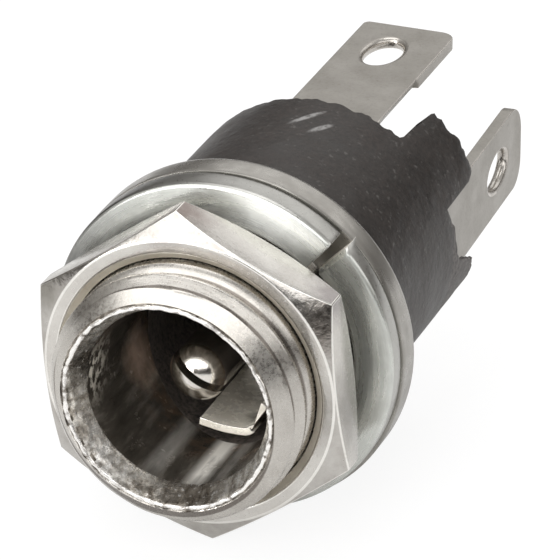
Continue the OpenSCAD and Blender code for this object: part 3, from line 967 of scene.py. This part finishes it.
# a pale patch of painted light on the raised end, which is also less metallic
painted_light = patch(where, (2.4, -1.4, 6.6), 2.8)
colour = blend(painted_light, colour, (0.92, 0.935, 0.895))
wire(shader, colour, ranged(drawn, 0.3, 0.7, 0.36, 0.22))
join(ranged(painted_light, 0.0, 1.0, 0.8, 0.2), shader.inputs["Metallic"])
bumps(shader, (drawn, 0.006), (cloud, 0.01))
tell(washer_zinc)

# %% Cut ends, wall and edges of the washer
# The walls are a darker, shaded copy of the zinc, with painted shade on the left. The cut ends are bare and
# painted pale, as painted light in the gap.
WALL_SHADE = (((-5.0, -0.6, 5.4), 7.5, (0.17, 0.165, 0.155)),)
lit_cut_zinc = nickel("lit_cut_zinc", (0.8, 0.77, 0.7), (0.92, 0.89, 0.82), 0.4, 0.01, metallic=0.1)
shaded_wall_zinc = nickel("shaded_wall_zinc", (0.46, 0.455, 0.43), (0.54, 0.535, 0.51), 0.26, 0.006, tarnish_and_shade=WALL_SHADE)
worn_zinc = nickel("worn_zinc", (0.62, 0.64, 0.62), (0.75, 0.77, 0.75), 0.18, 0.006)
tell(shaded_wall_zinc)

# %% Tin of the lugs
def tin(name, dark, light, gloss):
    material, shader, where = new_finish(name, metallic=1.0)
    cloud = grain(where, 1.8, detail=4, rough=0.6)
    sand = grain(where, 0.13, detail=3)
    spots = grain(where, 0.4, detail=2)
    colour = tones(cloud, (0.3, dark), (0.7, light))
    colour = tinted(colour, 0.5, sand, (0.25, (0.7, 0.68, 0.66)), (0.5, WHITE))
    colour = tinted(colour, 0.5, spots, (0.2, (0.4, 0.36, 0.33)), (0.26, WHITE))
    wire(shader, colour, ranged(cloud, 0.3, 0.7, gloss + 0.1, gloss))
    bumps(shader, (sand, 0.008), (grain(where, 0.7, detail=2), 0.01))
    return material


lug_tin = tin("lug_tin", (0.34, 0.322, 0.293), (0.405, 0.385, 0.355), 0.36)
worn_tin = tin("worn_tin", (0.5, 0.47, 0.43), (0.62, 0.59, 0.55), 0.22)
tell(lug_tin)

# %% Bright contacts
# Painted shade on the trough deeper in the bore, and a small dark patch of painted reflection near its lip.
SPRING_SHADE = (((2.9, 2.3, -1.2), 3.6, (0.045, 0.032, 0.018)),
                  ((2.1, -1.6, -2.6), 0.75, (0.1, 0.085, 0.06)))
pin_bright = nickel("pin_bright", (0.70, 0.665, 0.61), (0.82, 0.79, 0.74), 0.1, 0.005, grain_size=0.3)
spring_bright = nickel("spring_bright", (0.86, 0.81, 0.7), (0.94, 0.9, 0.81), 0.2, 0.006, grain_size=0.35,
                       metallic=0.2, tarnish_and_shade=SPRING_SHADE)
tell(spring_bright)

# %% [markdown]
# ## Black moulding
# The housing is a dark, slightly brown plastic with a fine moulded grain, some dust and two pale scuffs on
# top. A scuff is a stretched, turned patch of the wall, so its mask reads the wall as a flat sheet: turn
# across, length along. The broken rim shows a paler edge. The dark far part of the bore takes a greyer
# plastic finish.

# %% Scuffs on the wall
def scuff(where, turn, length_at, tilt, long, wide):
    flat = lathe_place(where, 0, 1, WALL_R)
    map_to = new_node(where, "Mapping")
    map_to.vector_type = "TEXTURE"
    map_to.inputs["Location"].default_value = (0, length_at * MM, math.radians(turn) * WALL_R * MM)
    map_to.inputs["Rotation"].default_value = (math.radians(tilt), 0, 0)
    map_to.inputs["Scale"].default_value = (1, long * MM, wide * MM)
    join(flat, map_to.inputs["Vector"])
    return ranged(measured("LENGTH", map_to.outputs[0]), 0.5, 1.0, 1.0, 0.0)


# %% Plastic of the housing
def plastic(name, dark, light, gloss, scuffs=()):
    material, shader, where = new_finish(name)
    shader.inputs["Specular Tint"].default_value = (1, 0.93, 0.88, 1)
    cloud = grain(where, 2.2, detail=4)
    sand = grain(where, 0.2, detail=4, rough=0.7)
    dust = grain(where, 0.28, detail=2)
    colour = tones(cloud, (0.3, dark), (0.7, light))
    colour = tinted(colour, 0.8, sand, (0.35, (0.15, 0.15, 0.15)), (0.65, (2.4, 2.3, 2.25)))
    dusty = tones(dust, (0.63, BLACK), (0.71, (0.6, 0.6, 0.6)))
    colour = blend(dusty, colour, (0.1, 0.095, 0.09))
    for place in scuffs:
        broken = times(scuff(where, *place),
                       ranged(grain(where, 0.25, detail=4), 0.35, 0.55, 0.25, 0.9))
        colour = blend(broken, colour, (0.3, 0.295, 0.29))
    wire(shader, colour, ranged(cloud, 0.3, 0.7, gloss, gloss + 0.12))
    bumps(shader, (sand, 0.02), (grain(where, 1.3, detail=2), 0.07))
    return material


SCUFFS = ((89.2, 8.9, -30, 1.15, 0.19), (81.2, 8.2, -27, 0.85, 0.19))
moulding = plastic("black_moulding", (0.0055, 0.0042, 0.0037), (0.0135, 0.0104, 0.0092), 0.36, SCUFFS)
broken_moulding = plastic("broken_moulding", (0.05, 0.047, 0.046), (0.085, 0.08, 0.078), 0.5)
dark_far_bore = plastic("dark_far_bore_finish", (0.07, 0.062, 0.056), (0.1, 0.09, 0.082), 0.4)
tell(moulding)

# %% [markdown]
# ## Dressing the pieces
# Each face takes its finish by its place, in millimetres, and by the way it faces. On the nut, the washer,
# the pin and the contacts the rounding of the edges already has the second finish of the list.

# %% Dress
def dress(piece, finishes, choose=None):
    while len(piece.data.materials) < len(finishes):
        piece.data.materials.append(None)
    for index, finish in enumerate(finishes):
        piece.data.materials[index] = finish
    if choose:
        for face in piece.data.polygons:
            chosen = choose(face.center / MM, face.normal, finishes[face.material_index])
            face.material_index = finishes.index(chosen)
    print(piece.name, "dressed in", len(finishes), "finishes")


# %% Dress the bush
FLANGE_FROM, FLANGE_IN = -0.06, 4.5
MOUTH_TO, MOUTH_OUT = -5.8, 4.42
LIP_TO, LIP_OUT, BEAD_TO = -6.8, 4.7, -7.0


def bush_finish(co, normal, finish):
    r = radius_of(co)
    if co.y > FLANGE_FROM and r > FLANGE_IN:
        return flange_nickel
    if r < BORE_R + 0.005:
        return dark_far_bore if (co - DARK_EDGE_AT).dot(DARK_EDGE_TILT) > 0 else bore_nickel
    if co.y < MOUTH_TO and r < MOUTH_OUT:
        return mouth_nickel
    if co.y < LIP_TO and r < LIP_OUT:
        return bead_nickel if co.y < BEAD_TO else bore_nickel
    return thread_nickel


dress(bush, (thread_nickel, mouth_nickel, bore_nickel, flange_nickel, dark_far_bore, bead_nickel), bush_finish)

# %% Dress the nut and the washer
def nut_finish(co, normal, finish):
    slanted = 0.4 <= abs(normal.y) <= 0.95
    if finish == worn_nickel or not slanted:
        return finish
    return lit_sink_nickel if radius_of(co) < SINK_R + 0.1 else chamfer_nickel


# Walls take the shaded copy of the zinc, and cut ends the pale one with painted light.
def washer_finish(co, normal, finish):
    along = Vector((-co.z, 0, co.x)).normalized()
    if abs(normal.dot(along)) > 0.8:
        return lit_cut_zinc
    return shaded_wall_zinc if abs(normal.y) < 0.5 else finish


dress(nut, (nut_nickel, worn_nickel, lit_sink_nickel, chamfer_nickel), nut_finish)
dress(washer, (washer_zinc, worn_zinc, lit_cut_zinc, shaded_wall_zinc), washer_finish)

# %% Dress the housing, the pin and the lugs
BROKEN_FROM, BROKEN_IN, BROKEN_OUT = 10.6, 5.93, 6.22


def housing_finish(co, normal, finish):
    on_edge = co.y > BROKEN_FROM and BROKEN_IN < radius_of(co) < BROKEN_OUT
    return broken_moulding if on_edge else moulding


def on_eye_rim(across, along, facing):
    in_reach = math.hypot(across / (EYE_X + EYE_ROUND), along / (EYE_Y + EYE_ROUND)) < 0.99
    return in_reach and abs(facing) < 0.98


def pin_lug_finish(co, normal, finish):
    return worn_tin if on_eye_rim(co.x - PIN_EYE_X, co.y - PIN_EYE_Y, normal.z) else finish


def sleeve_finish(co, normal, finish):
    in_socket = co.y < FLOOR_BACK - 0.05
    if in_socket:
        return worn_tin if finish == worn_tin else spring_bright
    return worn_tin if on_eye_rim(co.z - SIDE_Z, co.y - SIDE_EYE_Y, normal.x) else finish


dress(housing, (moulding, broken_moulding), housing_finish)
dress(pin, (pin_bright, worn_nickel))
dress(pin_lug, (lug_tin, worn_tin), pin_lug_finish)
dress(sleeve, (lug_tin, worn_tin, spring_bright), sleeve_finish)

# %% [markdown]
# ## Stage
# The socket lies on white paper that runs out of the picture. For the camera the paper is almost white by
# itself, with a small diffuse share that lets the soft shadow show. In reflections it is just as white out
# in the open and darker close under the socket. Bounced light sees ordinary paper.

# %% Floor
FLOOR_Z = -0.0079
deselect()
bpy.ops.mesh.primitive_plane_add(size=3, location=(0, 0, FLOOR_Z))
floor = bpy.context.object
floor.name = "floor"
print("floor", round(FLOOR_Z / MM, 1), "mm from the axis")

# %% Paper
paper = bpy.data.materials.new("paper")
paper.use_nodes = True
nodes = paper.node_tree.nodes
sheet = nodes["Principled BSDF"]
sheet.inputs["Base Color"].default_value = (0.8, 0.8, 0.79, 1)
sheet.inputs["Roughness"].default_value = 0.9


def lit_paper(own_light, share):
    glow = nodes.new("ShaderNodeEmission")
    glow.inputs["Strength"].default_value = own_light
    shade = nodes.new("ShaderNodeBsdfDiffuse")
    shade.inputs["Color"].default_value = (share, share, share, 1)
    both = nodes.new("ShaderNodeAddShader")
    join(glow.outputs[0], both.inputs[0])
    join(shade.outputs[0], both.inputs[1])
    return both.outputs[0]


def choose_paper(test, otherwise, chosen):
    mix = nodes.new("ShaderNodeMixShader")
    join(test, mix.inputs["Fac"])
    join(otherwise, mix.inputs[1])
    join(chosen, mix.inputs[2])
    return mix.outputs[0]


path = nodes.new("ShaderNodeLightPath")
mirrored = math_node("MAXIMUM", path.outputs["Is Glossy Ray"],
                     path.outputs["Is Transmission Ray"])
surface = choose_paper(mirrored, sheet.outputs[0], lit_paper(0.25, 0.62))
surface = choose_paper(path.outputs["Is Camera Ray"], surface, lit_paper(0.88, 0.16))
join(surface, nodes["Material Output"].inputs["Surface"])
dress(floor, (paper,))

# %% [markdown]
# ## Light
# Polished metal only looks like metal when it has something to mirror. The room is dim and warm near the
# horizon and grey overhead. Soft boxes stand in front, overhead, right and behind, a low one on the
# left shines into the bore, and a black card on the front right gives the nut's corner there its dark side.

# %% Room
world = bpy.data.worlds.new("studio")
bpy.context.scene.world = world
world.use_nodes = True
tree = world.node_tree
look = tree.nodes.new("ShaderNodeSeparateXYZ")
join(tree.nodes.new("ShaderNodeTexCoord").outputs["Generated"], look.inputs[0])
room = tones(look.outputs["Z"], (0.0, (0.09, 0.08, 0.072)), (0.2, (0.14, 0.13, 0.12)),
             (0.4, (0.46, 0.45, 0.435)), (1.0, (0.48, 0.48, 0.48)))
join(room, tree.nodes["Background"].inputs["Color"])
bpy.context.scene.view_settings.view_transform = "Standard"
print("room:", len(tree.nodes), "nodes")

# %% Soft boxes
def softbox(name, place, size, watts):
    deselect()
    bpy.ops.object.light_add(type="AREA", location=place)
    lamp = bpy.context.object
    lamp.name = name
    lamp.data.shape = "RECTANGLE"
    lamp.data.size, lamp.data.size_y = size
    lamp.data.energy = watts
    lamp.rotation_euler = (-Vector(place)).to_track_quat("-Z", "Y").to_euler()
    print("soft box", name, "at", watts, "watts")


softbox("front", (-0.06, -0.37, 0.29), (0.8, 0.38), 1.8)
softbox("overhead", (-0.05, 0.08, 0.45), (0.4, 0.34), 0.8)
softbox("right", (0.38, -0.07, 0.24), (0.45, 0.2), 0.28)
softbox("back", (0.02, 0.36, 0.22), (0.46, 0.18), 0.19)
softbox("low_left", (-0.22, -0.38, 0.06), (0.2, 0.12), 0.6)

# %% Black card
CARD_AT, CARD_SIZE = Vector((0.17, -0.29, 0.058)), (0.3, 0.13, 1)
deselect()
bpy.ops.mesh.primitive_plane_add(size=1, location=CARD_AT)
card = bpy.context.object
card.name = "black_card"
card.scale = CARD_SIZE
card.rotation_euler = Vector((-CARD_AT.x, -CARD_AT.y, 0)).to_track_quat("Z", "Y").to_euler()
card_black, shader, _ = new_finish("card_black", roughness=0.9)
shader.inputs["Base Color"].default_value = (0.03, 0.027, 0.024, 1)
dress(card, (card_black,))

# %% [markdown]
# ## Camera
# The socket is seen from the front, a little from the right and from above, through a long lens, so that
# near and far parts keep almost the same scale.

# %% Camera
CAMERA_AT = (0.06913, -0.17427, 0.09416)
CAMERA_DOWN, CAMERA_TURN = math.radians(90 - 26.023), math.radians(20.992)
bpy.ops.object.camera_add(location=CAMERA_AT, rotation=(CAMERA_DOWN, 0, CAMERA_TURN))
camera = bpy.context.object
camera.data.lens = 321.6
camera.data.sensor_width = 36
camera.data.clip_start = 0.01
bpy.context.scene.camera = camera
print("camera", round(Vector(CAMERA_AT).length, 3), "m away")
